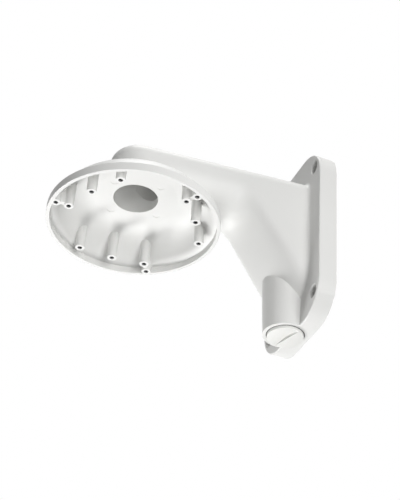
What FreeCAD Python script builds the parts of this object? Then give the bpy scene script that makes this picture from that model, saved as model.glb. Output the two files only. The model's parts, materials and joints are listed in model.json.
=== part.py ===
import FreeCAD, Part
import math
import os

import Sketcher
from FreeCAD import Placement, Rotation, Vector

# Camera wall bracket: a hollow die-cast arm that carries a round camera dish out from a
# wall plate, with a plugged cable inlet below the arm.
# Frame: the wall is the plane Y = 0, the arm reaches along -Y, Z is up, and the origin is
# the middle of the plate's back. All sizes are millimetres and degrees.

os.makedirs("parts", exist_ok=True)
doc = FreeCAD.newDocument("camera_wall_bracket")

SIZES = {
    # wall plate
    "plate_width": 104.4,
    "plate_height": 165.4,
    "plate_thickness": 15.5,
    "plate_corner": 29.7,
    "plate_edge_round": 1.0,
    "plate_rim_wall": 4.0,
    "plate_front_wall": 5.0,
    # wall screws
    "screw_span_across": 82.2,
    "screw_span_up": 126.0,
    "screw_hole_radius": 3.25,
    "screw_seat_radius": 5.6,
    "screw_seat_depth": 8.5,
    "screw_seat_bevel": 0.6,
    "screw_post_radius": 9.0,
    # place of the dish
    "dish_reach": 156.1,
    "rim_drop": 17.8,
    # camera dish
    "dish_radius": 70.4,
    "rim_height": 7.4,
    "rim_width": 2.9,
    "rim_edge_round": 0.5,
    "bowl_depth": 26.5,
    "shoulder_radius": 31.0,
    "flank_angle": 61.6,
    "foot_radius": 9.0,
    "foot_overhang": 2.2,
    "bowl_wall": 3.6,
    # camera screw bosses on the dish
    "boss_end_radius": 3.9,
    "boss_draft": 1.5,
    "pilot_radius": 1.6,
    "pilot_depth": 11.0,
    "rim_pilot_depth": 5.0,
    "outer_boss_inset": 5.15,
    "outer_boss_turn": 30.0,
    "webbed_boss_circle": 54.5,
    "middle_boss_circle": 57.0,
    "middle_boss_turn": 90.0,
    "inner_boss_circle": 50.8,
    "inner_boss_turn": 60.0,
    "web_thickness": 3.6,
    "web_recess": 1.0,
    # ejector marks on the ceiling of the dish
    "mark_circle": 26.5,
    "mark_turn": 30.0,
    "mark_radius": 3.0,
    "mark_depth": 0.25,
    # arm
    "nose_radius": 24.0,
    "arm_half_width": 33.2,
    "arm_top": 69.6,
    "arm_rise": 2.3,
    "arm_edge_round": 11.1,
    "arm_underside": 29.6,
    "fall_start": 86.3,
    "fall_slope": 1.5,
    "fall_blend": 5.0,
    "toe_start": 133.0,
    "toe_slope": 0.9,
    "toe_blend": 6.0,
    "arm_wall": 4.6,
    "arm_root_round": 3.0,
    # cable way
    "cable_hole_radius": 18.35,
    "cable_hole_top": 42.1,
    "pocket_radius": 20.0,
    "duct_start": 5.0,
    # cable inlet below the arm
    "inlet_out": 19.5,
    "inlet_radius": 18.6,
    "inlet_draft": 2.0,
    "inlet_length": 54.0,
    "inlet_bore_radius": 13.4,
    "inlet_bore_length": 55.0,
    "recess_radius": 15.7,
    "recess_depth": 3.6,
    # inlet plug
    "plug_gap": 0.5,
    "plug_head_thickness": 4.9,
    "plug_edge_bevel": 0.5,
    "plug_shank_gap": 0.1,
    "plug_shank_length": 10.0,
    "plug_hollow_radius": 9.5,
    "plug_hollow_depth": 8.0,
    "slot_width": 3.0,
    "slot_depth": 2.6,
    "slot_half_length": 14.0,
    "slot_turn": 16.0,
    # sealing ring
    "seal_thickness": 1.2,
    "seal_band": 1.7,
}

sheet = doc.addObject("Spreadsheet::Sheet", "sizes")
for row, (alias, number) in enumerate(SIZES.items(), start=1):
    sheet.set(f"A{row}", alias)
    sheet.set(f"B{row}", str(number))
    sheet.setAlias(f"B{row}", alias)
doc.recompute()

# camera screw bosses on each circle of the dish
BOSSES = 3
EJECTOR_MARKS = 4
# sections that shape the arm's loft, evenly spaced
ARM_SECTIONS = 15
# how far a cut runs past the faces it opens
CUT_MARGIN = 1.0
# how closely an edge has to lie to count as being in a place
NEAR = 0.01


def size(alias):
    """The value of one named cell."""
    return float(sheet.get(alias))


def origin_plane(body, role):
    """The body's own origin plane of that role."""
    return next(item for item in body.Origin.OriginFeatures if item.Role == role)


def new_sketch(body, name, role, offset=(0, 0, 0), bound=None):
    """A sketch on an origin plane, moved by offset in the plane's own directions."""
    sketch = body.newObject("Sketcher::SketchObject", name)
    sketch.AttachmentSupport = [(origin_plane(body, role), "")]
    sketch.MapMode = "FlatFace"
    sketch.AttachmentOffset = Placement(Vector(*offset), Rotation())
    for direction, formula in (bound or {}).items():
        sketch.setExpression(f"AttachmentOffset.Base.{direction}", formula)
    return sketch


def bind(sketch, constraint, formula):
    """Adds a constraint and ties its value to the sheet."""
    index = sketch.addConstraint(constraint)
    sketch.setExpression(f"Constraints[{index}]", formula)
    return index


def on_circle(radius, angle):
    return (radius * math.cos(math.radians(angle)), radius * math.sin(math.radians(angle)))


def ring(radius, first_angle, count):
    """Evenly spaced points on a circle, from a first angle on."""
    return [on_circle(radius, first_angle + number * 360 / count) for number in range(count)]


def line(start, end):
    """A straight stroke: its geometry, the numbers of its first and last point, its end."""
    return Part.LineSegment(Vector(*start, 0), Vector(*end, 0)), 1, 2, end


def arc(center, radius, start, end):
    """A round stroke from one angle to another in degrees, whichever way that turns."""
    low, high = sorted((start, end))
    circle = Part.Circle(Vector(*center, 0), Vector(0, 0, 1), radius)
    geometry = Part.ArcOfCircle(circle, math.radians(low), math.radians(high))
    last = on_circle(radius, end)
    first_point, last_point = (1, 2) if end > start else (2, 1)
    return geometry, first_point, last_point, (center[0] + last[0], center[1] + last[1])


def draw(sketch, strokes):
    """Adds strokes given end to end, and joins them into one closed outline."""
    first = sketch.GeometryCount
    sketch.addGeometry([stroke[0] for stroke in strokes], False)
    count = len(strokes)
    for number, (_, _, last_point, _) in enumerate(strokes):
        after = (number + 1) % count
        sketch.addConstraint(Sketcher.Constraint(
            "Coincident", first + number, last_point, first + after, strokes[after][1]))


def add_circle(sketch, center, formula, radius):
    """A circle whose radius is tied to the sheet."""
    index = sketch.addGeometry(Part.Circle(Vector(*center, 0), Vector(0, 0, 1), radius), False)
    bind(sketch, Sketcher.Constraint("Radius", index, radius), formula)


def feature(body, kind, name, profile, **settings):
    """A sketch-based feature with its plain settings."""
    made = body.newObject(f"PartDesign::{kind}", name)
    made.Profile = profile
    for key, setting in settings.items():
        setattr(made, key, setting)
    profile.Visibility = False
    return made


def revolve(body, kind, name, profile):
    """A full turn about the profile's own vertical axis."""
    return feature(body, kind, name, profile, ReferenceAxis=(profile, ["V_Axis"]), Angle=360.0)


# Shapes that several features share

def softened(distance, blend):
    """Zero before the bend, the distance after it, and a smooth turn between."""
    return (distance + math.hypot(distance, blend)) / 2


def softened_slope(distance, blend):
    """How fast the softened distance grows."""
    return (1 + distance / math.hypot(distance, blend)) / 2


def arm_root():
    """Distance from the dish's axis to the plate's front face."""
    return size("dish_reach") - size("plate_thickness")


def arm_width_at(out):
    """Half the arm's width at a distance from the dish's axis."""
    grown = out / arm_root()
    return size("nose_radius") + (size("arm_half_width") - size("nose_radius")) * grown


def arm_top_at(out):
    return size("arm_top") + size("arm_rise") * out / arm_root()


def arm_bottom_at(out):
    """Height of the arm's lowest line: level over the dish, then falling to the plate."""
    fall = size("fall_slope") * softened(out - size("fall_start"), size("fall_blend"))
    toe = size("toe_slope") * softened(out - size("toe_start"), size("toe_blend"))
    return size("arm_underside") - fall + toe


def fall_at(out):
    """How steeply the arm's lowest line falls."""
    fall = size("fall_slope") * softened_slope(out - size("fall_start"), size("fall_blend"))
    return fall - size("toe_slope") * softened_slope(out - size("toe_start"), size("toe_blend"))


def arm_section(half_width, top, bottom, corner):
    """Flat sides, a half-round underside and rounded top corners, as one outline."""
    belly = bottom + half_width
    return [
        line((half_width - corner, top), (corner - half_width, top)),
        arc((corner - half_width, top - corner), corner, 90, 180),
        line((-half_width, top - corner), (-half_width, belly)),
        arc((0, belly), half_width, 180, 270),
        arc((0, belly), half_width, 270, 360),
        line((half_width, belly), (half_width, top - corner)),
        arc((half_width - corner, top - corner), corner, 0, 90),
    ]


def bowl_flat_radius():
    """Radius of the bowl's flat, which ends so that the foot runs into the rim's inside."""
    foot_out = size("dish_radius") - size("rim_width") + size("foot_overhang")
    flank = math.radians(size("flank_angle"))
    return foot_out - (size("shoulder_radius") + size("foot_radius")) * math.sin(flank)


def bowl_curve(offset):
    """Shoulder and foot of the bowl in the radius and height plane, moved outward."""
    flat = bowl_flat_radius()
    flank = size("flank_angle")
    shoulder = size("shoulder_radius")
    foot = size("foot_radius")
    shoulder_center = (flat, size("bowl_depth") - shoulder)
    reach = shoulder + foot
    foot_center = (
        flat + reach * math.sin(math.radians(flank)),
        shoulder_center[1] + reach * math.cos(math.radians(flank)),
    )
    return shoulder_center, shoulder + offset, foot_center, foot - offset, flank


def rim_top_edge():
    """Where the rim's top starts, inside its rounded outer edge."""
    return size("dish_radius") - size("rim_edge_round"), size("rim_height")


def bowl_outer_arcs():
    """The bowl's outer shoulder and foot, as far as a cone from the rim's top touches it."""
    shoulder_center, shoulder, foot_center, foot, flank = bowl_curve(size("bowl_wall"))
    edge = rim_top_edge()
    across = edge[0] - foot_center[0]
    down = foot_center[1] - edge[1]
    spread = math.degrees(math.acos(foot / math.hypot(across, down)))
    touching = 360 - math.degrees(math.atan2(down, across)) - spread
    return (shoulder_center, shoulder, 90, 90 - flank), (foot_center, foot, 270 - flank, touching)


def turned_back(center, radius, start, end):
    """The same arc drawn from its other end."""
    return arc(center, radius, end, start)


def end_of(stroke):
    return stroke[3]


# The casting

def add_dish(body):
    """The bowl and its rim, turned in one profile."""
    profile = new_sketch(
        body, "dish_profile", "YZ_Plane",
        (-size("dish_reach"), -size("rim_drop"), 0),
        {"x": "-sizes.dish_reach", "y": "-sizes.rim_drop"},
    )
    shoulder_center, shoulder, foot_center, foot, flank = bowl_curve(0)
    outer = size("dish_radius")
    inner = outer - size("rim_width")
    rim = size("rim_height")
    edge = size("rim_edge_round")
    ledge_angle = math.degrees(math.acos((foot_center[0] - inner) / foot))
    ledge = foot_center[1] - foot * math.sin(math.radians(ledge_angle))
    shoulder_arc, foot_arc = bowl_outer_arcs()
    top = size("bowl_depth") + size("bowl_wall")
    flat = bowl_flat_radius()
    draw(profile, [
        arc(shoulder_center, shoulder, 90, 90 - flank),
        arc(foot_center, foot, 270 - flank, 180 + ledge_angle),
        line((inner, ledge), (inner, 0)),
        line((inner, 0), (outer - edge, 0)),
        arc((outer - edge, edge), edge, 270, 360),
        line((outer, edge), (outer, rim - edge)),
        arc((outer - edge, rim - edge), edge, 0, 90),
        line(rim_top_edge(), end_of(arc(*foot_arc))),
        turned_back(*foot_arc),
        turned_back(*shoulder_arc),
        line((flat, top), (0, top)),
        line((0, top), (0, size("bowl_depth"))),
        line((0, size("bowl_depth")), (flat, size("bowl_depth"))),
    ])
    return revolve(body, "Revolution", "dish", profile)


def boss_centers():
    """Four sets of camera screw bosses, each evenly spaced round the dish."""
    on_rim = size("dish_radius") - size("outer_boss_inset")
    outer = ring(on_rim, size("outer_boss_turn"), BOSSES)
    webbed = ring(size("webbed_boss_circle"), size("outer_boss_turn"), BOSSES)
    middle = ring(size("middle_boss_circle"), size("middle_boss_turn"), BOSSES)
    inner = ring(size("inner_boss_circle"), size("inner_boss_turn"), BOSSES)
    return outer, webbed, middle, inner


def dish_plane(body, name, height, formula):
    """A level sketch centred on the dish's axis, at a height above the rim."""
    return new_sketch(
        body, name, "XY_Plane",
        (0, -size("dish_reach"), height - size("rim_drop")),
        {"y": "-sizes.dish_reach", "z": f"{formula} - sizes.rim_drop"},
    )


def add_bosses(body):
    """Drafted bosses and webs that hang from the bowl, trimmed to the bowl's outside."""
    outlines = dish_plane(body, "boss_outlines", 0, "0")
    for centers in boss_centers():
        for center in centers:
            add_circle(outlines, center, "sizes.boss_end_radius", size("boss_end_radius"))
    bosses = feature(body, "Pad", "bosses", outlines, TaperAngle=size("boss_draft"))
    bosses.setExpression("Length", "sizes.bowl_depth + sizes.bowl_wall")
    bosses.setExpression("TaperAngle", "sizes.boss_draft")
    doc.recompute()

    webs = dish_plane(body, "web_outlines", size("web_recess"), "sizes.web_recess")
    half = size("web_thickness") / 2
    start = size("webbed_boss_circle")
    end = size("dish_radius") - size("rim_width") / 2
    for number in range(BOSSES):
        turn = Rotation(Vector(0, 0, 1), size("outer_boss_turn") + number * 360 / BOSSES)
        corners = [turn.multVec(Vector(*corner, 0)) for corner in
                   ((start, -half), (end, -half), (end, half), (start, half))]
        points = [(corner.x, corner.y) for corner in corners]
        draw(webs, [line(points[side], points[(side + 1) % 4]) for side in range(4)])
    pad = feature(body, "Pad", "boss_webs", webs)
    pad.setExpression("Length", "sizes.bowl_depth - sizes.web_recess")
    doc.recompute()

    trim = new_sketch(
        body, "outside_profile", "YZ_Plane",
        (-size("dish_reach"), -size("rim_drop"), 0),
        {"x": "-sizes.dish_reach", "y": "-sizes.rim_drop"},
    )
    shoulder_arc, foot_arc = bowl_outer_arcs()
    edge = rim_top_edge()
    top = size("bowl_depth") + size("bowl_wall")
    flat = bowl_flat_radius()
    beyond = size("dish_radius") + size("boss_end_radius")
    above = top + CUT_MARGIN
    draw(trim, [
        line((0, top), (flat, top)),
        arc(*shoulder_arc),
        arc(*foot_arc),
        line(end_of(arc(*foot_arc)), edge),
        line(edge, (beyond, edge[1])),
        line((beyond, edge[1]), (beyond, above)),
        line((beyond, above), (0, above)),
        line((0, above), (0, top)),
    ])
    return revolve(body, "Groove", "bosses_trimmed", trim)


def add_nose(body):
    """The round front end of the arm, standing on the middle of the dish."""
    profile = new_sketch(
        body, "nose_profile", "YZ_Plane",
        (-size("dish_reach"), -size("rim_drop"), 0),
        {"x": "-sizes.dish_reach", "y": "-sizes.rim_drop"},
    )
    radius = size("nose_radius")
    corner = size("arm_edge_round")
    top = size("arm_top")
    foot = size("bowl_depth") + size("bowl_wall") / 2
    draw(profile, [
        line((0, foot), (radius, foot)),
        line((radius, foot), (radius, top - corner)),
        arc((radius - corner, top - corner), corner, 0, 90),
        line((radius - corner, top), (0, top)),
        line((0, top), (0, foot)),
    ])
    return revolve(body, "Revolution", "nose", profile)


def loft(body, kind, name, sections):
    """A smooth loft through upright sections, given as distance out and outline."""
    sketches = []
    for number, (out, pieces) in enumerate(sections, start=1):
        sketch = new_sketch(
            body, f"{name}_section_{number}", "XZ_Plane",
            (0, -size("rim_drop"), size("dish_reach") - out),
            {"y": "-sizes.rim_drop", "z": f"sizes.dish_reach - {out}"},
        )
        draw(sketch, pieces)
        sketches.append(sketch)
    made = feature(body, kind, name, sketches[0], Ruled=False, Closed=False)
    made.Sections = [(sketch, [""]) for sketch in sketches[1:]]
    for sketch in sketches:
        sketch.Visibility = False
    return made


def stations(start, end):
    """Even distances from the dish's axis where the arm's sections stand."""
    return [start + (end - start) * number / (ARM_SECTIONS - 1) for number in range(ARM_SECTIONS)]


def add_arm(body):
    """The arm's outer form from the dish's axis into the plate."""
    into_plate = size("plate_front_wall") / 2
    sections = [
        (out, arm_section(arm_width_at(out), arm_top_at(out), arm_bottom_at(out), size("arm_edge_round")))
        for out in stations(0, arm_root() + into_plate)
    ]
    return loft(body, "AdditiveLoft", "arm", sections)


def rounded_outline(sketch, half_width, half_height, corner):
    """A rounded rectangle about the sketch's own origin."""
    across = half_width - corner
    up = half_height - corner
    draw(sketch, [
        line((-across, half_height), (across, half_height)),
        arc((across, up), corner, 90, 0),
        line((half_width, up), (half_width, -up)),
        arc((across, -up), corner, 0, -90),
        line((across, -half_height), (-across, -half_height)),
        arc((-across, -up), corner, -90, -180),
        line((-half_width, -up), (-half_width, up)),
        arc((-across, up), corner, 180, 90),
    ])


def add_plate(body):
    outline = new_sketch(body, "plate_outline", "XZ_Plane")
    rounded_outline(outline, size("plate_width") / 2, size("plate_height") / 2, size("plate_corner"))
    plate = feature(body, "Pad", "plate", outline)
    plate.setExpression("Length", "sizes.plate_thickness")
    return plate


def wall_sketch(body, name, forward, formula):
    """An upright sketch parallel to the wall, a distance in front of it."""
    return new_sketch(body, name, "XZ_Plane", (0, 0, forward), {"z": formula})


def middle_of(edge):
    return edge.valueAt((edge.FirstParameter + edge.LastParameter) / 2)


def on_plate_front(edge):
    """Whether an edge lies in the plate's front face."""
    points = [middle_of(edge)] + [vertex.Point for vertex in edge.Vertexes]
    return all(abs(point.y + size("plate_thickness")) < NEAR for point in points)


def on_plate_outline(edge):
    """Whether an edge runs along the plate's rounded outline on its front face."""
    middle = middle_of(edge)
    across = abs(middle.x) - size("plate_width") / 2
    up = abs(middle.z) - size("plate_height") / 2
    corner = size("plate_corner")
    in_corner = across > -corner and up > -corner
    round_gap = math.hypot(across + corner, up + corner) - corner if in_corner else max(across, up)
    return on_plate_front(edge) and abs(round_gap) < NEAR


def on_arm_root(edge):
    """Whether an edge is where the arm meets the plate's front face."""
    return on_plate_front(edge) and not on_plate_outline(edge)


def on_screw_seat(edge):
    """Whether an edge is the mouth of a screw's seat."""
    is_round = isinstance(edge.Curve, Part.Circle)
    return on_plate_front(edge) and is_round and abs(edge.Curve.Radius - size("screw_seat_radius")) < NEAR


def dress_edges(body, kind, name, chosen, key, formula):
    """A round or bevel on every edge that a test picks, sized from the sheet."""
    names = [f"Edge{number}" for number, edge in enumerate(body.Shape.Edges, start=1) if chosen(edge)]
    base = body.Tip
    dressing = body.newObject(f"PartDesign::{kind}", name)
    dressing.Base = (base, names)
    dressing.setExpression(key, formula)
    return dressing


def round_arm_root(body):
    """The round all about the arm where it grows out of the plate."""
    return dress_edges(body, "Fillet", "arm_root", on_arm_root, "Radius", "sizes.arm_root_round")


def round_plate_edges(body):
    """The small round along the plate's front outline."""
    return dress_edges(body, "Fillet", "plate_edge", on_plate_outline, "Radius", "sizes.plate_edge_round")


def add_hollow(body):
    """The plate's back is cored out inside a wall that follows its outline."""
    outline = wall_sketch(body, "hollow_outline", 0, "0")
    wall = size("plate_rim_wall")
    rounded_outline(
        outline, size("plate_width") / 2 - wall, size("plate_height") / 2 - wall,
        size("plate_corner") - wall,
    )
    hollow = feature(body, "Pocket", "hollow", outline, Reversed=True)
    hollow.setExpression("Length", "sizes.plate_thickness - sizes.plate_front_wall")
    doc.recompute()


def screw_centers():
    across = size("screw_span_across") / 2
    up = size("screw_span_up") / 2
    return [(x, z) for x in (-across, across) for z in (-up, up)]


def add_screw_posts(body):
    """Posts that carry the wall screws' pull from the front wall to the wall plane."""
    posts = wall_sketch(body, "post_outlines", 0, "0")
    for center in screw_centers():
        add_circle(posts, center, "sizes.screw_post_radius", size("screw_post_radius"))
    pad = feature(body, "Pad", "screw_posts", posts)
    pad.setExpression("Length", "sizes.plate_thickness - sizes.plate_front_wall / 2")
    return pad


def inlet_plane(body, name, formula="0", height=0.0):
    """A level sketch on the inlet's axis, a height above the inlet's lower end."""
    bottom = -size("plate_height") / 2
    return new_sketch(
        body, name, "XY_Plane", (0, -size("inlet_out"), bottom + height),
        {"y": "-sizes.inlet_out", "z": f"{formula} - sizes.plate_height / 2"},
    )


def add_inlet(body):
    """The drafted round boss below the arm, flush with the plate's lower edge."""
    outline = inlet_plane(body, "inlet_outline")
    add_circle(outline, (0, 0), "sizes.inlet_radius", size("inlet_radius"))
    boss = feature(body, "Pad", "inlet_boss", outline)
    boss.setExpression("Length", "sizes.inlet_length")
    boss.setExpression("TaperAngle", "sizes.inlet_draft")
    doc.recompute()
    trim = wall_sketch(body, "wall_plane_outline", 0, "0")
    reach = size("plate_width") / 2
    low = -size("plate_height") / 2 - CUT_MARGIN
    draw(trim, [
        line((-reach, low), (reach, low)),
        line((reach, low), (reach, 0)),
        line((reach, 0), (-reach, 0)),
        line((-reach, 0), (-reach, low)),
    ])
    flat = feature(body, "Pocket", "inlet_trimmed", trim)
    flat.setExpression("Length", "sizes.inlet_radius")
    return flat


def add_duct(body):
    """The cable way through the arm, open to the plate's hollow."""
    wall = size("arm_wall")
    corner = size("arm_edge_round") - wall
    sections = []
    for out in stations(size("duct_start"), size("dish_reach") + CUT_MARGIN):
        floor = arm_bottom_at(out) + wall * math.hypot(1, fall_at(out))
        sections.append((out, arm_section(arm_width_at(out) - wall, arm_top_at(out) - wall, floor, corner)))
    return loft(body, "SubtractiveLoft", "duct", sections)


def add_cable_hole(body):
    """The hole in the middle of the dish and the round pocket above it."""
    profile = new_sketch(
        body, "cable_hole_profile", "YZ_Plane",
        (-size("dish_reach"), -size("rim_drop"), 0),
        {"x": "-sizes.dish_reach", "y": "-sizes.rim_drop"},
    )
    hole = size("cable_hole_radius")
    ledge = size("cable_hole_top")
    pocket = size("pocket_radius")
    ceiling = size("arm_top") - size("arm_wall")
    corner = size("arm_edge_round") - size("arm_wall")
    low = size("bowl_depth") / 2
    draw(profile, [
        line((0, low), (hole, low)),
        line((hole, low), (hole, ledge)),
        line((hole, ledge), (pocket, ledge)),
        line((pocket, ledge), (pocket, ceiling - corner)),
        arc((pocket - corner, ceiling - corner), corner, 0, 90),
        line((pocket - corner, ceiling), (0, ceiling)),
        line((0, ceiling), (0, low)),
    ])
    return revolve(body, "Groove", "cable_hole", profile)


def add_inlet_bore(body):
    """The plug's bore and the recess for its head, turned about the inlet's axis."""
    bottom = -size("plate_height") / 2
    profile = new_sketch(
        body, "inlet_bore_profile", "YZ_Plane", (-size("inlet_out"), bottom, 0),
        {"x": "-sizes.inlet_out", "y": "-sizes.plate_height / 2"},
    )
    recess = size("recess_radius")
    depth = size("recess_depth")
    bore = size("inlet_bore_radius")
    length = size("inlet_bore_length")
    draw(profile, [
        line((0, 0), (recess, 0)),
        line((recess, 0), (recess, depth)),
        line((recess, depth), (bore, depth)),
        line((bore, depth), (bore, length)),
        line((bore, length), (0, length)),
        line((0, length), (0, 0)),
    ])
    return revolve(body, "Groove", "inlet_bore", profile)


def add_screw_holes(body):
    """Clearance holes for the wall screws, each with a round seat for the head."""
    front = size("plate_thickness")
    holes = wall_sketch(body, "screw_hole_outlines", front, "sizes.plate_thickness")
    seats = wall_sketch(body, "screw_seat_outlines", front, "sizes.plate_thickness")
    for center in screw_centers():
        add_circle(holes, center, "sizes.screw_hole_radius", size("screw_hole_radius"))
        add_circle(seats, center, "sizes.screw_seat_radius", size("screw_seat_radius"))
    through = feature(body, "Pocket", "screw_holes", holes)
    through.setExpression("Length", "sizes.plate_thickness")
    doc.recompute()
    seat = feature(body, "Pocket", "screw_seats", seats)
    seat.setExpression("Length", "sizes.screw_seat_depth")


def bevel_screw_seats(body):
    """The small bevel round the mouth of each screw's seat."""
    return dress_edges(body, "Chamfer", "seat_bevels", on_screw_seat, "Size", "sizes.screw_seat_bevel")


def add_pilot_holes(body):
    """Blind holes for the camera's screws, shallow where the bosses stand on the rim."""
    outer, *inside = boss_centers()
    for name, centers, depth in (
        ("rim_pilots", outer, "rim_pilot_depth"), ("bowl_pilots", sum(inside, []), "pilot_depth"),
    ):
        outlines = dish_plane(body, f"{name}_outlines", 0, "0")
        for center in centers:
            add_circle(outlines, center, "sizes.pilot_radius", size("pilot_radius"))
        holes = feature(body, "Pocket", name, outlines, Reversed=True)
        holes.setExpression("Length", f"sizes.{depth}")
        doc.recompute()


def add_marks(body):
    """Shallow round ejector marks about the cable hole."""
    outlines = dish_plane(body, "mark_outlines", size("bowl_depth"), "sizes.bowl_depth")
    for center in ring(size("mark_circle"), size("mark_turn"), EJECTOR_MARKS):
        add_circle(outlines, center, "sizes.mark_radius", size("mark_radius"))
    marks = feature(body, "Pocket", "ejector_marks", outlines, Reversed=True)
    marks.setExpression("Length", "sizes.mark_depth")
    return marks


PARTS = []


def finish(body, label):
    body.Label = label
    PARTS.append(body)


def make_casting():
    body = doc.addObject("PartDesign::Body", "bracket_casting")
    for step in (
        add_dish, add_bosses, add_nose, add_arm, add_plate, round_arm_root, round_plate_edges,
        add_hollow, add_screw_posts, add_inlet, add_duct, add_cable_hole, add_inlet_bore,
        add_screw_holes, bevel_screw_seats, add_pilot_holes, add_marks,
    ):
        step(body)
        doc.recompute()
    finish(body, "bracket_casting")


# The plug and its sealing ring, each about its own vertical axis

PLUG_FACE = "-sizes.plate_height / 2 + sizes.recess_depth - sizes.seal_thickness - sizes.plug_head_thickness"
SEAL_FOOT = "-sizes.plate_height / 2 + sizes.recess_depth - sizes.seal_thickness"


def place_on_inlet(body, height):
    """Puts a piece on the inlet's axis at a height tied to the sheet."""
    body.setExpression("Placement.Base.y", "-sizes.inlet_out")
    body.setExpression("Placement.Base.z", height)


def make_plug():
    """The screw plug: a flat head with a coin slot, and a hollow shank."""
    body = doc.addObject("PartDesign::Body", "inlet_plug")
    profile = new_sketch(body, "plug_profile", "YZ_Plane")
    head = size("recess_radius") - size("plug_gap")
    bevel = size("plug_edge_bevel")
    thick = size("plug_head_thickness")
    shank = size("inlet_bore_radius") - size("plug_shank_gap")
    tip = thick + size("plug_shank_length")
    hollow = size("plug_hollow_radius")
    hollow_floor = tip - size("plug_hollow_depth")
    draw(profile, [
        line((0, 0), (head - bevel, 0)),
        line((head - bevel, 0), (head, bevel)),
        line((head, bevel), (head, thick)),
        line((head, thick), (shank, thick)),
        line((shank, thick), (shank, tip)),
        line((shank, tip), (hollow, tip)),
        line((hollow, tip), (hollow, hollow_floor)),
        line((hollow, hollow_floor), (0, hollow_floor)),
        line((0, hollow_floor), (0, 0)),
    ])
    revolve(body, "Revolution", "plug_turned", profile)
    doc.recompute()
    cutter = new_sketch(body, "slot_profile", "XZ_Plane")
    cutter.AttachmentOffset = Placement(Vector(), Rotation(Vector(0, 1, 0), size("slot_turn")))
    reach = size("slot_half_length")
    deep = size("slot_depth")
    disc = (reach * reach + deep * deep) / (2 * deep)
    half_turn = math.degrees(math.asin(reach / disc))
    draw(cutter, [
        line((-reach, 0), (reach, 0)),
        arc((0, deep - disc), disc, 90 - half_turn, 90 + half_turn),
    ])
    slot = feature(body, "Pocket", "coin_slot", cutter, Midplane=True)
    slot.setExpression("Length", "sizes.slot_width")
    place_on_inlet(body, PLUG_FACE)
    doc.recompute()
    finish(body, "inlet_plug")


def make_seal():
    """The flat rubber ring squeezed between the plug's head and the recess."""
    body = doc.addObject("PartDesign::Body", "plug_seal")
    profile = new_sketch(body, "seal_profile", "YZ_Plane")
    inner = size("inlet_bore_radius")
    outer = inner + size("seal_band")
    thick = size("seal_thickness")
    draw(profile, [
        line((inner, 0), (outer, 0)),
        line((outer, 0), (outer, thick)),
        line((outer, thick), (inner, thick)),
        line((inner, thick), (inner, 0)),
    ])
    revolve(body, "Revolution", "seal_ring", profile)
    place_on_inlet(body, SEAL_FOOT)
    doc.recompute()
    finish(body, "plug_seal")


make_casting()
make_plug()
make_seal()
doc.recompute()
for item in doc.Objects:
    if "Invalid" in item.State or "Error" in item.State:
        raise RuntimeError(f"{item.Name} failed: {item.State}")
for body in PARTS:
    if body.Shape.isNull() or not body.Shape.isValid():
        raise RuntimeError(f"{body.Label} has no valid shape")
    body.Shape.exportStep(f"parts/{body.Label}.step")
    print(body.Label, round(body.Shape.Volume), len(body.Shape.Solids), "solid")
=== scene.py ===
"""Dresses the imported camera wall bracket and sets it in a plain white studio.

The bracket is a hollow aluminium die casting with a white powder coat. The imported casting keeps
its shape. The plastic screw plug below its arm and the rubber ring under the plug's head are
modelled again in finer detail, and the dish's screw holes get their threads. Everything is in
metres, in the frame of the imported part: the wall is the plane Y = 0, the arm reaches along -Y,
and Z is up. Names that end in _mm, _deg or _px hold those units.
"""

import json
import logging
import math
from dataclasses import dataclass
from enum import Enum

import bpy
from mathutils import Matrix, Vector


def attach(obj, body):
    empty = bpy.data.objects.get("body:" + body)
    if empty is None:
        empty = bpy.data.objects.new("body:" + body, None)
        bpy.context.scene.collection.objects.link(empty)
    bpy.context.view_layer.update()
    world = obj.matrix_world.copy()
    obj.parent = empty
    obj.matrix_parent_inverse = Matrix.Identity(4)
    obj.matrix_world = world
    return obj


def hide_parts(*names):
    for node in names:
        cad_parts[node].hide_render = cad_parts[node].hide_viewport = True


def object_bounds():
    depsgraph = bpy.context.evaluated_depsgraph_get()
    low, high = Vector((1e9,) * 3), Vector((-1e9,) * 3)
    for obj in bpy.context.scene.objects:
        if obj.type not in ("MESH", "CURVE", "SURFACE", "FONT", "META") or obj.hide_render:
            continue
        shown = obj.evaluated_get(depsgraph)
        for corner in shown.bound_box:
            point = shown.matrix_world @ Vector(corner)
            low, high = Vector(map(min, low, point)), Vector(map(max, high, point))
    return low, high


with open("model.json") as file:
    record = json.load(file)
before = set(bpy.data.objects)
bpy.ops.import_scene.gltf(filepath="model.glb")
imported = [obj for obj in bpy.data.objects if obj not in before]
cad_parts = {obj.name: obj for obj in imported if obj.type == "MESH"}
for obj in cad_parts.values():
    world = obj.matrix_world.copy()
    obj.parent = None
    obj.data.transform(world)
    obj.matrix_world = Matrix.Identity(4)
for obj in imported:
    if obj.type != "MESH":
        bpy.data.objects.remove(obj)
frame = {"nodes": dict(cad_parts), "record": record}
CAD_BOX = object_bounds()

MM = 0.001
BODY = "root"
RING_SEGMENTS = 96
MERGE_MM = 0.001

# The Mix node's colour sockets, which share their names with its other sockets.
MIX_FIRST = 6
MIX_SECOND = 7
MIX_RESULT = 2

log = logging.getLogger("camera_wall_bracket")


class Node(Enum):
    """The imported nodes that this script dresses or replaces."""

    CASTING = "bracket_casting"
    PLUG = "inlet_plug"
    SEAL = "plug_seal"


class Slot(Enum):
    """The record's material slots."""

    COATED_CASTING = "coated_casting"
    PLUG_PLASTIC = "plug_plastic"
    SEAL_RUBBER = "seal_rubber"


def linear(hex_colour: str) -> tuple[float, float, float, float]:
    """Turns a screen colour into the linear one that a shader takes.

    Args:
        hex_colour: An sRGB colour such as "#F0F0EE".

    Returns:
        Red, green, blue and an alpha of 1.
    """
    channels = [int(hex_colour[place:place + 2], 16) / 255 for place in (1, 3, 5)]
    red, green, blue = (
        channel / 12.92 if channel <= 0.04045 else ((channel + 0.055) / 1.055) ** 2.4
        for channel in channels
    )
    return red, green, blue, 1.0


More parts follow.
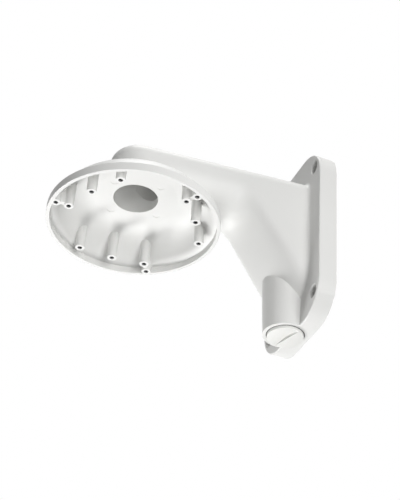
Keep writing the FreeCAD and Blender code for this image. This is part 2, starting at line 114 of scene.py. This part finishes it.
def add_node(
    tree: bpy.types.NodeTree,
    kind: str,
    inputs: dict[str | int, object] | None = None,
    **settings: object,
) -> bpy.types.Node:
    """Adds one shader node with its settings, socket values and links.

    Args:
        tree: The node tree that gets the node.
        kind: Blender's type name of the node.
        inputs: A socket's name or number to a value, or to the output socket that feeds it.
        **settings: The node's own properties.

    Returns:
        The new node.
    """
    node = tree.nodes.new(kind)
    for name, setting in settings.items():
        setattr(node, name, setting)
    for socket, value in (inputs or {}).items():
        if isinstance(value, bpy.types.NodeSocket):
            tree.links.new(value, node.inputs[socket])
        else:
            node.inputs[socket].default_value = value
    return node


def per_metre(feature_mm: float) -> float:
    """The scale at which a pattern on object coordinates has features of that size."""
    return 1 / (feature_mm * MM)


def new_material(name: str) -> tuple[bpy.types.Material, bpy.types.NodeTree]:
    """Makes an empty node material.

    Args:
        name: The material's name.

    Returns:
        The material and its cleared node tree.
    """
    material = bpy.data.materials.new(name)
    material.use_nodes = True
    material.node_tree.nodes.clear()
    return material, material.node_tree


def heading(azimuth_deg: float, elevation_deg: float) -> Vector:
    """A unit vector away from the bracket.

    Args:
        azimuth_deg: The turn about Z from -Y towards +X.
        elevation_deg: The rise above the level.

    Returns:
        The direction in the part's frame.
    """
    azimuth = math.radians(azimuth_deg)
    elevation = math.radians(elevation_deg)
    return Vector((
        math.sin(azimuth) * math.cos(elevation),
        -math.cos(azimuth) * math.cos(elevation),
        math.sin(elevation),
    ))


def find_mount(name: str) -> dict[str, object]:
    """The record's entry for one of its mounts."""
    return next(mount for mount in frame["record"]["mounts"] if mount["name"] == name)


def mount_place(name: str) -> Vector:
    """Where the record puts one of its mounts."""
    return Vector(find_mount(name)["pos_m"])


def mount_dims(name: str) -> dict[str, float]:
    """The record's sizes for one of its mounts."""
    return find_mount(name)["dims"]


def select_only(piece: bpy.types.Object) -> None:
    """Selects one object and makes it the active one.

    Args:
        piece: The object that the next operators act on.
    """
    bpy.ops.object.select_all(action="DESELECT")
    piece.select_set(True)
    bpy.context.view_layer.objects.active = piece


def turn_rings(rings: list[tuple[float, float]], solid: bool) -> bpy.types.Object:
    """Turns a piece on the vertical axis by extruding one ring from size to size.

    Args:
        rings: Radius and height of each ring in millimetres, in order along the surface.
        solid: Whether the first and last rings are closed by flat caps. Without caps the last
            ring is joined to the first.

    Returns:
        The turned piece, flat shaded.
    """
    bpy.ops.object.select_all(action="DESELECT")
    radius, height = rings[0]
    bpy.ops.mesh.primitive_circle_add(
        vertices=RING_SEGMENTS,
        radius=radius * MM,
        fill_type="NGON" if solid else "NOTHING",
        location=(0, 0, height * MM),
    )
    piece = bpy.context.object
    bpy.ops.object.transform_apply(location=True, rotation=True, scale=True)
    bpy.ops.object.mode_set(mode="EDIT")
    path = rings[1:] if solid else rings[1:] + rings[:1]
    for next_radius, next_height in path:
        lift = {"value": (0, 0, (next_height - height) * MM)}
        if solid:
            bpy.ops.mesh.extrude_region_move(TRANSFORM_OT_translate=lift)
        else:
            bpy.ops.mesh.extrude_edges_move(TRANSFORM_OT_translate=lift)
        scale = next_radius / radius
        bpy.ops.transform.resize(value=(scale, scale, 1), center_override=(0, 0, 0))
        radius, height = next_radius, next_height
    bpy.ops.mesh.select_all(action="SELECT")
    bpy.ops.mesh.remove_doubles(threshold=MERGE_MM * MM)
    bpy.ops.mesh.normals_make_consistent(inside=False)
    bpy.ops.object.mode_set(mode="OBJECT")
    return piece


def node_foot(node: Node) -> Vector:
    """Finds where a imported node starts, for the piece that replaces it.

    Args:
        node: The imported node.

    Returns:
        The point at the middle of its lowest level.
    """
    corners = [vertex.co for vertex in frame["nodes"][node.value].data.vertices]
    low = Vector([min(corner[axis] for corner in corners) for axis in range(3)])
    high = Vector([max(corner[axis] for corner in corners) for axis in range(3)])
    return Vector(((low.x + high.x) / 2, (low.y + high.y) / 2, low.z))


@dataclass(frozen=True)
class PowderCoat:
    """White polyester powder, sprayed on the casting and baked.

    The melt levels into a fine orange peel, so the eye gets a soft, even white whose broad
    highlights break up slightly. Its thickness drifts, which gives faint clouds. The grain is
    drawn a little coarser than the real one, so that it shows in a close view.
    """

    colour: str = "#DBDBD9"
    thin_colour: str = "#D7D7D5"
    roughness: float = 0.48
    roughness_spread: float = 0.04
    ior: float = 1.5
    peel_mm: float = 2.2
    peel_height_mm: float = 0.02
    peel_detail: float = 1.0
    grain_mm: float = 0.45
    grain_height_mm: float = 0.006
    grain_detail: float = 2.0
    cloud_mm: float = 38.0
    cloud_detail: float = 3.0

    def build(self) -> bpy.types.Material:
        """Makes the material.

        Returns:
            The powder coat, ready for a material slot.
        """
        material, tree = new_material("powder_coat_baked_white")
        where = add_node(tree, "ShaderNodeTexCoord").outputs["Object"]
        clouds = add_node(
            tree, "ShaderNodeTexNoise",
            {
                "Vector": where,
                "Scale": per_metre(self.cloud_mm),
                "Detail": self.cloud_detail,
            },
        )
        tint = add_node(
            tree, "ShaderNodeMix",
            {
                "Factor": clouds.outputs["Fac"],
                MIX_FIRST: linear(self.thin_colour),
                MIX_SECOND: linear(self.colour),
            },
            data_type="RGBA",
        )
        peel = add_node(
            tree, "ShaderNodeTexNoise",
            {"Vector": where, "Scale": per_metre(self.peel_mm), "Detail": self.peel_detail},
        )
        grain = add_node(
            tree, "ShaderNodeTexNoise",
            {"Vector": where, "Scale": per_metre(self.grain_mm), "Detail": self.grain_detail},
        )
        peel_bump = add_node(
            tree, "ShaderNodeBump",
            {
                "Height": peel.outputs["Fac"],
                "Distance": self.peel_height_mm * MM,
                "Strength": 1.0,
            },
        )
        grain_bump = add_node(
            tree, "ShaderNodeBump",
            {
                "Height": grain.outputs["Fac"],
                "Distance": self.grain_height_mm * MM,
                "Strength": 1.0,
                "Normal": peel_bump.outputs["Normal"],
            },
        )
        gloss = add_node(
            tree, "ShaderNodeMapRange",
            {
                "Value": peel.outputs["Fac"],
                "To Min": self.roughness - self.roughness_spread,
                "To Max": self.roughness + self.roughness_spread,
            },
        )
        coat = add_node(
            tree, "ShaderNodeBsdfPrincipled",
            {
                "Base Color": tint.outputs[MIX_RESULT],
                "Roughness": gloss.outputs["Result"],
                "IOR": self.ior,
                "Normal": grain_bump.outputs["Normal"],
            },
        )
        add_node(tree, "ShaderNodeOutputMaterial", {"Surface": coat.outputs["BSDF"]})
        return material


@dataclass(frozen=True)
class MouldedPlug:
    """White glass-filled nylon, injection moulded in a spark-eroded tool.

    The tool leaves a fine even grain, so the eye gets a dry matte white, a shade warmer than
    the powder coat. The grain is drawn coarser than the real one, so that it shows in a close
    view.
    """

    colour: str = "#D9D9D6"
    roughness: float = 0.55
    roughness_spread: float = 0.05
    ior: float = 1.53
    grain_mm: float = 0.35
    grain_height_mm: float = 0.01
    grain_detail: float = 3.0

    def build(self) -> bpy.types.Material:
        """Makes the material.

        Returns:
            The moulded plastic, ready for a material slot.
        """
        material, tree = new_material("nylon_moulded_white")
        where = add_node(tree, "ShaderNodeTexCoord").outputs["Object"]
        grain = add_node(
            tree, "ShaderNodeTexNoise",
            {"Vector": where, "Scale": per_metre(self.grain_mm), "Detail": self.grain_detail},
        )
        bump = add_node(
            tree, "ShaderNodeBump",
            {
                "Height": grain.outputs["Fac"],
                "Distance": self.grain_height_mm * MM,
                "Strength": 1.0,
            },
        )
        gloss = add_node(
            tree, "ShaderNodeMapRange",
            {
                "Value": grain.outputs["Fac"],
                "To Min": self.roughness - self.roughness_spread,
                "To Max": self.roughness + self.roughness_spread,
            },
        )
        plastic = add_node(
            tree, "ShaderNodeBsdfPrincipled",
            {
                "Base Color": linear(self.colour),
                "Roughness": gloss.outputs["Result"],
                "IOR": self.ior,
                "Normal": bump.outputs["Normal"],
            },
        )
        add_node(tree, "ShaderNodeOutputMaterial", {"Surface": plastic.outputs["BSDF"]})
        return material


@dataclass(frozen=True)
class SealRubber:
    """Black EPDM rubber, compression moulded.

    It is dull and slightly dusty. Where the ring's lip fills the gap round the plug's head, its
    black is also painted shade for that gap, so the eye gets a dark line with no highlight.
    """

    # The ring is black rubber; on the lip in the gap this black is also painted shade.
    colour: str = "#1E1E1F"
    dust_colour: str = "#2B2B2B"
    roughness: float = 0.82
    ior: float = 1.52
    dust_mm: float = 1.5
    dust_detail: float = 4.0

    def build(self) -> bpy.types.Material:
        """Makes the material.

        Returns:
            The rubber, ready for a material slot.
        """
        material, tree = new_material("epdm_moulded_black")
        where = add_node(tree, "ShaderNodeTexCoord").outputs["Object"]
        dust = add_node(
            tree, "ShaderNodeTexNoise",
            {"Vector": where, "Scale": per_metre(self.dust_mm), "Detail": self.dust_detail},
        )
        tint = add_node(
            tree, "ShaderNodeMix",
            {
                "Factor": dust.outputs["Fac"],
                MIX_FIRST: linear(self.colour),
                MIX_SECOND: linear(self.dust_colour),
            },
            data_type="RGBA",
        )
        rubber = add_node(
            tree, "ShaderNodeBsdfPrincipled",
            {
                "Base Color": tint.outputs[MIX_RESULT],
                "Roughness": self.roughness,
                "IOR": self.ior,
            },
        )
        add_node(tree, "ShaderNodeOutputMaterial", {"Surface": rubber.outputs["BSDF"]})
        return material


@dataclass(frozen=True)
class TappedMetal:
    """Bare aluminium where the tap has cut through the coat, dark with painted shade.

    Both colours are painted shade for the depth of the holes, mottled at random between them;
    real cut aluminium is pale. It shines only faintly between its ridges, so the eye gets a dark
    hole with a few dull glints.
    """

    # Painted shade: both dark colours stand in for the shade deep in the holes.
    colour: str = "#454648"
    painted_shade_deep_colour: str = "#222223"
    roughness: float = 0.5
    streak_mm: float = 0.5
    streak_detail: float = 3.0

    def build(self) -> bpy.types.Material:
        """Makes the material.

        Returns:
            The cut metal, ready for a material slot.
        """
        material, tree = new_material("aluminium_tapped_painted_shade")
        where = add_node(tree, "ShaderNodeTexCoord").outputs["Object"]
        streaks = add_node(
            tree, "ShaderNodeTexNoise",
            {
                "Vector": where,
                "Scale": per_metre(self.streak_mm),
                "Detail": self.streak_detail,
            },
        )
        # A random mottle between the two painted-shade colours.
        tint = add_node(
            tree, "ShaderNodeMix",
            {
                "Factor": streaks.outputs["Fac"],
                MIX_FIRST: linear(self.painted_shade_deep_colour),
                MIX_SECOND: linear(self.colour),
            },
            data_type="RGBA",
        )
        metal = add_node(
            tree, "ShaderNodeBsdfPrincipled",
            {
                "Base Color": tint.outputs[MIX_RESULT],
                "Roughness": self.roughness,
                "Metallic": 1.0,
            },
        )
        add_node(tree, "ShaderNodeOutputMaterial", {"Surface": metal.outputs["BSDF"]})
        return material


@dataclass(frozen=True)
class PilotRing:
    """One circle of tapped holes on the camera dish."""

    mount: str
    first_angle_deg: float
    depth_mm: float

    def places(self) -> list[Vector]:
        """The middles of the holes' mouths.

        Returns:
            One point for each hole, in the part's frame.
        """
        dims = mount_dims(self.mount)
        centre = mount_place(self.mount)
        radius = dims["pcd_mm"] / 2 * MM
        turns = [
            math.radians(self.first_angle_deg + number * 360 / dims["count"])
            for number in range(dims["count"])
        ]
        return [centre + radius * Vector((math.cos(turn), math.sin(turn), 0)) for turn in turns]


@dataclass
class TappedThreads:
    """The threads cut in the dish's pilot holes for the camera's screws, with their bare lips.
    They wear a dark metal that is painted shade for the depth of the holes.

    The skin is the thin wall behind the ridges, and the lip laps over it at the mouth. The crest
    is the lip's level part, as a share of its width.
    """

    rings: tuple[PilotRing, ...] = (
        PilotRing("dish_screws_outer", first_angle_deg=30, depth_mm=5),
        PilotRing("dish_screws_webbed", first_angle_deg=30, depth_mm=11),
        PilotRing("dish_screws_middle", first_angle_deg=90, depth_mm=11),
        PilotRing("dish_screws_inner", first_angle_deg=60, depth_mm=11),
    )
    pitch_mm: float = 0.6
    ridge_mm: float = 0.2
    skin_mm: float = 0.03
    mouth_mm: float = 0.4
    burr_mm: float = 0.28
    burr_height_mm: float = 0.04
    burr_crest: float = 0.7
    lap_mm: float = 0.01
    steps: int = 20
    sweep_merge_mm: float = 0.01

    def cut_thread(self, ring: PilotRing) -> bpy.types.Object:
        """Models one thread, upright on the origin, with its mouth at the bottom.

        A ridge's outline, which is half a diamond, is swept along the screw line and gets a
        thin wall behind it.

        Args:
            ring: The circle of holes that the thread is for.

        Returns:
            The thread.
        """
        hole = mount_dims(ring.mount)["hole_r_mm"]
        root = (hole - 2 * self.skin_mm) * MM
        pitch = self.pitch_mm * MM
        half_diagonal = math.sqrt(0.5)
        bpy.ops.object.select_all(action="DESELECT")
        bpy.ops.mesh.primitive_plane_add(size=1, rotation=(math.pi / 2, math.pi / 4, 0))
        thread = bpy.context.object
        bpy.ops.object.transform_apply(location=True, rotation=True, scale=True)
        bpy.ops.object.mode_set(mode="EDIT")
        bpy.ops.mesh.select_mode(type="VERT")
        bpy.ops.mesh.select_all(action="DESELECT")
        bpy.ops.object.mode_set(mode="OBJECT")
        max(thread.data.vertices, key=lambda vertex: vertex.co.x).select = True
        bpy.ops.object.mode_set(mode="EDIT")
        bpy.ops.mesh.delete(type="VERT")
        bpy.ops.mesh.select_all(action="SELECT")
        bpy.ops.transform.resize(
            value=(self.ridge_mm * MM / half_diagonal, 1, pitch / (2 * half_diagonal)),
            center_override=(0, 0, 0),
        )
        bpy.ops.transform.translate(value=(root, 0, pitch / 2 + self.mouth_mm * MM))
        bpy.ops.object.mode_set(mode="OBJECT")
        sweep = thread.modifiers.new("sweep", "SCREW")
        sweep.axis = "Z"
        sweep.screw_offset = pitch
        sweep.iterations = int((ring.depth_mm - self.mouth_mm) / self.pitch_mm) - 1
        sweep.steps = self.steps
        sweep.render_steps = self.steps
        sweep.use_merge_vertices = True
        sweep.merge_threshold = self.sweep_merge_mm * MM
        sweep.use_smooth_shade = False
        bpy.ops.object.modifier_apply(modifier=sweep.name)
        wall = thread.modifiers.new("wall", "SOLIDIFY")
        wall.thickness = self.skin_mm * MM
        wall.offset = 1.0
        bpy.ops.object.modifier_apply(modifier=wall.name)
        bpy.ops.object.mode_set(mode="EDIT")
        bpy.ops.mesh.select_all(action="SELECT")
        bpy.ops.mesh.remove_doubles(threshold=MERGE_MM * MM)
        bpy.ops.mesh.normals_make_consistent(inside=False)
        bpy.ops.object.mode_set(mode="OBJECT")
        return thread

    def raise_burr(self, ring: PilotRing) -> bpy.types.Object:
        """Models the bare lip that the tap leaves round a hole's mouth, dark with the holes'
        painted shade.

        Args:
            ring: The circle of holes that the lip is for.

        Returns:
            The lip, which lies just proud of the boss and lines the first turn of the hole.
        """
        hole = mount_dims(ring.mount)["hole_r_mm"]
        wall = hole - self.skin_mm
        crest = hole + self.burr_mm * self.burr_crest
        lap = hole - self.lap_mm
        return turn_rings(
            [
                (wall, self.mouth_mm),
                (wall, 0),
                (hole, -self.burr_height_mm),
                (crest, -self.burr_height_mm),
                (hole + self.burr_mm, 0),
                (lap, 0),
                (lap, self.mouth_mm),
            ],
            solid=False,
        )

    def build(self) -> None:
        """Cuts one thread for each circle and copies it into that circle's holes."""
        # The threads and lips wear painted shade, which darkens the holes as their depth would.
        material = TappedMetal().build()
        for ring in self.rings:
            first = self.cut_thread(ring)
            burr = self.raise_burr(ring)
            select_only(burr)
            first.select_set(True)
            bpy.context.view_layer.objects.active = first
            bpy.ops.object.join()
            first.data.materials.append(material)
            places = ring.places()
            threads = [first]
            for _ in places[1:]:
                select_only(first)
                bpy.ops.object.duplicate(linked=False)
                threads.append(bpy.context.object)
            for number, (thread, place) in enumerate(zip(threads, places), start=1):
                thread.name = f"{ring.mount}_thread_{number}"
                thread.data.transform(Matrix.Translation(place))
                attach(thread, BODY)
            faces = len(first.data.polygons)
            log.info("%s: %d threads, %d faces each", ring.mount, len(threads), faces)


@dataclass
class InletPlug:
    """The screw plug in the cable inlet: a head with a coin slot, and a hollow shank.

    The rim of the head's face is rounded in two facets, which meet at edge_share of edge_mm in
    from the face and from the side.
    """

    head_radius_mm: float = 14.95
    head_mm: float = 4.9
    edge_mm: float = 0.3
    edge_share: float = 0.3
    shank_radius_mm: float = 13.3
    length_mm: float = 14.9
    hollow_radius_mm: float = 9.5
    hollow_floor_mm: float = 6.9
    slot_width_mm: float = 3.0
    slot_depth_mm: float = 2.4
    slot_half_length_mm: float = 14.0
    slot_turn_deg: float = 16.0
    cutter_segments: int = 720
    smooth_deg: float = 30.0

    def cut_slot(self, plug: bpy.types.Object) -> None:
        """Cuts the coin slot, whose floor is an arc as from a round cutter.

        Args:
            plug: The plug, face down on the origin.
        """
        reach, depth = self.slot_half_length_mm, self.slot_depth_mm
        disc = (reach * reach + depth * depth) / (2 * depth)
        bpy.ops.object.select_all(action="DESELECT")
        bpy.ops.mesh.primitive_cylinder_add(
            vertices=self.cutter_segments,
            radius=disc * MM,
            depth=self.slot_width_mm * MM,
            location=(0, 0, (depth - disc) * MM),
            rotation=(math.pi / 2, 0, math.radians(self.slot_turn_deg)),
        )
        cutter = bpy.context.object
        select_only(plug)
        cut = plug.modifiers.new("coin_slot", "BOOLEAN")
        cut.operation = "DIFFERENCE"
        cut.solver = "EXACT"
        cut.object = cutter
        bpy.ops.object.modifier_apply(modifier=cut.name)
        bpy.data.objects.remove(cutter)

    def build(self) -> None:
        """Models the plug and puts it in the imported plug's place."""
        head, edge = self.head_radius_mm, self.edge_mm
        step = edge * self.edge_share
        plug = turn_rings(
            [
                (head - edge, 0),
                (head - step, step),
                (head, edge),
                (head, self.head_mm),
                (self.shank_radius_mm, self.head_mm),
                (self.shank_radius_mm, self.length_mm),
                (self.hollow_radius_mm, self.length_mm),
                (self.hollow_radius_mm, self.hollow_floor_mm),
            ],
            solid=True,
        )
        self.cut_slot(plug)
        select_only(plug)
        bpy.ops.object.shade_smooth_by_angle(angle=math.radians(self.smooth_deg))
        plug.name = "slotted_inlet_plug"
        plug.data.transform(Matrix.Translation(node_foot(Node.PLUG)))
        plug.data.materials.append(MouldedPlug().build())
        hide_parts(Node.PLUG.value)
        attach(plug, BODY)
        log.info("%s: %d faces", plug.name, len(plug.data.polygons))


@dataclass
class SealingRing:
    """The rubber ring under the plug's head, with the lip that fills the gap round it. The ring
    is real black rubber; the lip's black in the gap is painted shade for that gap.
    """

    bore_radius_mm: float = 13.4
    # The lip fills the gap round the head up to its mouth, so that its black paints the gap's
    # shade.
    lip_inner_mm: float = 15.05
    lip_outer_mm: float = 15.65
    ring_mm: float = 1.2
    lip_mm: float = 2.48
    round_mm: float = 0.12
    smooth_deg: float = 50.0

    def build(self) -> None:
        """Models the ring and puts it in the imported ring's place."""
        inner, outer, corner = self.lip_inner_mm, self.lip_outer_mm, self.round_mm
        seal = turn_rings(
            [
                (self.bore_radius_mm, self.ring_mm),
                (outer, self.ring_mm),
                (outer, corner - self.lip_mm),
                (outer - corner, -self.lip_mm),
                (inner + corner, -self.lip_mm),
                (inner, corner - self.lip_mm),
                (inner, 0),
                (self.bore_radius_mm, 0),
            ],
            solid=False,
        )
        select_only(seal)
        bpy.ops.object.shade_smooth_by_angle(angle=math.radians(self.smooth_deg))
        seal.name = "lipped_sealing_ring"
        seal.data.transform(Matrix.Translation(node_foot(Node.SEAL)))
        seal.data.materials.append(SealRubber().build())
        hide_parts(Node.SEAL.value)
        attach(seal, BODY)
        log.info("%s: %d faces", seal.name, len(seal.data.polygons))


@dataclass
class Casting:
    """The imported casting, which keeps its shape and gets its finish."""

    finish: PowderCoat = PowderCoat()

    def dress(self) -> None:
        """Puts the finish on the casting's material slots."""
        piece = frame["nodes"][Node.CASTING.value]
        material = self.finish.build()
        if not piece.material_slots:
            piece.data.materials.append(material)
        for place in piece.material_slots:
            place.material = material
        log.info("%s: %s, %d faces", piece.name, material.name, len(piece.data.polygons))


@dataclass
class Photograph:
    """The camera that took the reference view, from below and beside the arm."""

    width_px: int = 400
    height_px: int = 500
    azimuth_deg: float = 69.817
    elevation_deg: float = -35.902
    roll_deg: float = 3.984
    dish_distance: float = 1.15
    focal_px: float = 1431.92
    dish_x_px: float = 132.97
    dish_y_px: float = 224.79
    sensor_mm: float = 36.0

    def axes(self) -> tuple[Vector, Vector, Vector]:
        """The camera's right, up and backward directions.

        Returns:
            Three unit vectors in the part's frame.
        """
        azimuth = math.radians(self.azimuth_deg)
        roll = math.radians(self.roll_deg)
        back = heading(self.azimuth_deg, self.elevation_deg)
        level = Vector((math.cos(azimuth), math.sin(azimuth), 0))
        upright = back.cross(level)
        right = math.cos(roll) * level + math.sin(roll) * upright
        up = -math.sin(roll) * level + math.cos(roll) * upright
        return right, up, back

    def place(self, dish_centre: Vector) -> None:
        """Adds the camera so that the dish lies where the photograph has it.

        Args:
            dish_centre: The middle of the dish's rim.
        """
        right, up, back = self.axes()
        across = (self.dish_x_px - self.width_px / 2) / self.focal_px * self.dish_distance
        along = (self.height_px / 2 - self.dish_y_px) / self.focal_px * self.dish_distance
        station = dish_centre - across * right - along * up + self.dish_distance * back
        data = bpy.data.cameras.new("photograph")
        data.sensor_width = self.sensor_mm
        data.lens = self.focal_px / self.height_px * self.sensor_mm
        camera = bpy.data.objects.new("photograph", data)
        bpy.context.scene.collection.objects.link(camera)
        turn = Matrix((right, up, back)).transposed()
        camera.matrix_world = Matrix.Translation(station) @ turn.to_4x4()
        bpy.context.scene.camera = camera
        log.info("camera at %s", tuple(round(value, 4) for value in station))


@dataclass(frozen=True)
class SoftLamp:
    """A square soft box that points at the bracket."""

    name: str
    azimuth_deg: float
    elevation_deg: float
    side: float
    watts: float
    distance: float = 1.1

    def place(self, target: Vector) -> None:
        """Adds the lamp round a target.

        Args:
            target: The point that the lamp faces.
        """
        away = heading(self.azimuth_deg, self.elevation_deg)
        data = bpy.data.lights.new(self.name, "AREA")
        data.shape = "SQUARE"
        data.size = self.side
        data.energy = self.watts
        lamp = bpy.data.objects.new(self.name, data)
        bpy.context.scene.collection.objects.link(lamp)
        lamp.location = target + away * self.distance
        lamp.rotation_mode = "QUATERNION"
        lamp.rotation_quaternion = away.to_track_quat("Z", "Y")
        lamp.visible_camera = False


@dataclass
class Studio:
    """The white surroundings: world, floor and lamps."""

    ambient: float = 0.22
    floor_drop: float = 1.3
    floor_side: float = 16.0
    floor_colour: str = "#C8C8C8"
    floor_roughness: float = 0.9
    glow_near: float = 0.58
    glow_far: float = 0.92
    near_radius: float = 0.4
    far_radius: float = 3.0
    lamps: tuple[SoftLamp, ...] = (
        SoftLamp("key", azimuth_deg=277, elevation_deg=-60, side=0.4, watts=7.2),
        SoftLamp("back", azimuth_deg=295, elevation_deg=-40, side=0.25, watts=5.4),
        SoftLamp("side", azimuth_deg=95, elevation_deg=-12, side=0.6, watts=8.1),
        SoftLamp("fill", azimuth_deg=95, elevation_deg=-38, side=0.25, watts=1.7),
        SoftLamp("rear", azimuth_deg=172, elevation_deg=12, side=0.6, watts=3.8),
        SoftLamp("top", azimuth_deg=60, elevation_deg=84, side=0.5, watts=6.5),
    )

    def show_white(self, tree: bpy.types.NodeTree) -> bpy.types.NodeSocket:
        """A factor of 1 on the rays that see the background, straight, in gloss or through glass.

        Args:
            tree: The node tree that uses the factor.

        Returns:
            The factor's output socket.
        """
        path = add_node(tree, "ShaderNodeLightPath")
        seen = add_node(
            tree, "ShaderNodeMath",
            {0: path.outputs["Is Camera Ray"], 1: path.outputs["Is Glossy Ray"]},
            operation="MAXIMUM",
        )
        return add_node(
            tree, "ShaderNodeMath",
            {0: seen.outputs[0], 1: path.outputs["Is Transmission Ray"]},
            operation="MAXIMUM",
        ).outputs[0]

    def make_world(self) -> None:
        """A white world that lights softly from all round."""
        world = bpy.data.worlds.new("white_studio")
        world.use_nodes = True
        tree = world.node_tree
        tree.nodes.clear()
        strength = add_node(
            tree, "ShaderNodeMapRange",
            {"Value": self.show_white(tree), "To Min": self.ambient, "To Max": 1.0},
        )
        background = add_node(
            tree, "ShaderNodeBackground",
            {"Color": linear("#FFFFFF"), "Strength": strength.outputs["Result"]},
        )
        add_node(tree, "ShaderNodeOutputWorld", {"Surface": background.outputs["Background"]})
        bpy.context.scene.world = world

    def make_floor(self) -> None:
        """A plain pale floor well below the wall bracket and the camera.

        Its paint takes the lamps' light and the bracket's shadow. The glow that the background
        rays see on top of that brings it up to white, and grows where the lamps' light fades.
        """
        bpy.ops.object.select_all(action="DESELECT")
        bpy.ops.mesh.primitive_plane_add(size=self.floor_side, location=(0, 0, -self.floor_drop))
        floor = bpy.context.object
        floor.name = "floor"
        material, tree = new_material("floor_painted_white")
        paint = add_node(
            tree, "ShaderNodeBsdfPrincipled",
            {
                "Base Color": linear(self.floor_colour),
                "Roughness": self.floor_roughness,
                "Specular IOR Level": 0.0,
            },
        )
        where = add_node(tree, "ShaderNodeTexCoord").outputs["Object"]
        away = add_node(tree, "ShaderNodeVectorMath", {0: where}, operation="LENGTH")
        fade = add_node(
            tree, "ShaderNodeMapRange",
            {
                "Value": away.outputs["Value"],
                "From Min": self.near_radius,
                "From Max": self.far_radius,
                "To Min": self.glow_near,
                "To Max": self.glow_far,
            },
        )
        strength = add_node(
            tree, "ShaderNodeMath",
            {0: fade.outputs["Result"], 1: self.show_white(tree)},
            operation="MULTIPLY",
        )
        glow = add_node(
            tree, "ShaderNodeEmission",
            {"Color": linear("#FFFFFF"), "Strength": strength.outputs[0]},
        )
        both = add_node(
            tree, "ShaderNodeAddShader", {0: paint.outputs["BSDF"], 1: glow.outputs["Emission"]},
        )
        add_node(tree, "ShaderNodeOutputMaterial", {"Surface": both.outputs["Shader"]})
        floor.data.materials.append(material)

    def light(self, target: Vector) -> None:
        """Makes the surroundings and places the lamps.

        Args:
            target: The point that the lamps face.
        """
        self.make_world()
        self.make_floor()
        for lamp in self.lamps:
            lamp.place(target)


def main() -> None:
    """Builds each piece in order, then the studio and the camera."""
    logging.basicConfig(level=logging.INFO, format="%(name)s: %(message)s")
    bpy.context.scene.view_settings.view_transform = "Standard"
    Casting().dress()
    InletPlug().build()
    SealingRing().build()
    TappedThreads().build()
    Studio().light(target=(CAD_BOX[0] + CAD_BOX[1]) / 2)
    Photograph().place(mount_place("dish_screws_outer"))


if __name__ == "__main__":
    main()
